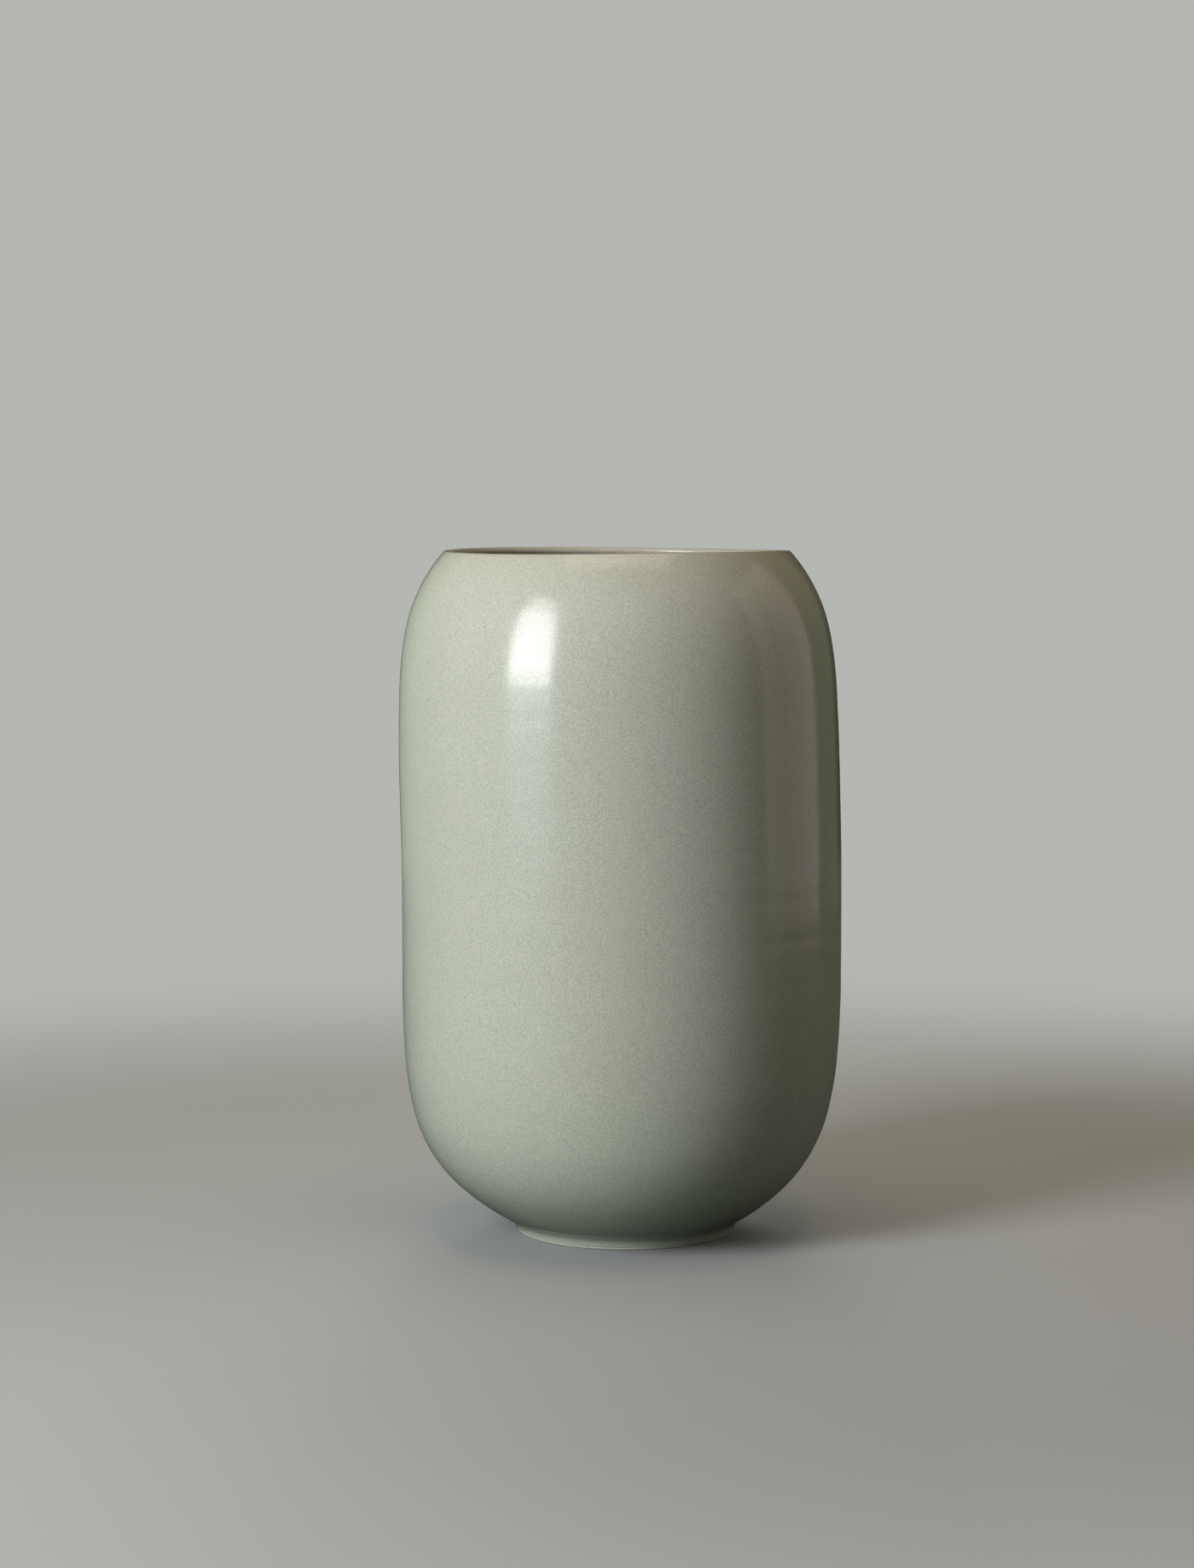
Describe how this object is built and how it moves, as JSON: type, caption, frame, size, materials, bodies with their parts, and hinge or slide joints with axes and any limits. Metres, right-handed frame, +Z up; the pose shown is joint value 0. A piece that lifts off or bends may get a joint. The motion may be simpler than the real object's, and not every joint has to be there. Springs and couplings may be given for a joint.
{
  "type": "stoneware vase",
  "caption": "Wheel-thrown stoneware vase: straight round belly, rounded shoulder, wide open mouth with a narrow lip, and a narrow coved foot with a recess.",
  "frame": {"origin": "centre of the standing face, on the vase's axis", "axes": "+Z up along the vase's axis towards the mouth; +Y is away from the viewer of the front"},
  "size_m": [0.1936, 0.1936, 0.3],
  "materials": {
    "bare_stoneware": "matt fired clay, hidden under both glazes except in the foot's recess",
    "foot_stoneware": "matt fired clay, sponged smooth at the standing face",
    "satin_glaze": "satin off-white glaze with a grey-green tint and fine speckle",
    "liner_glaze": "satin off-white liner glaze over shallow throwing rings"
  },
  "bodies": {
    "root": {"thrown_body": "bare_stoneware", "foot_ring": "foot_stoneware", "outer_glaze": "satin_glaze", "inner_glaze": "liner_glaze"}
  },
  "joints": []
}
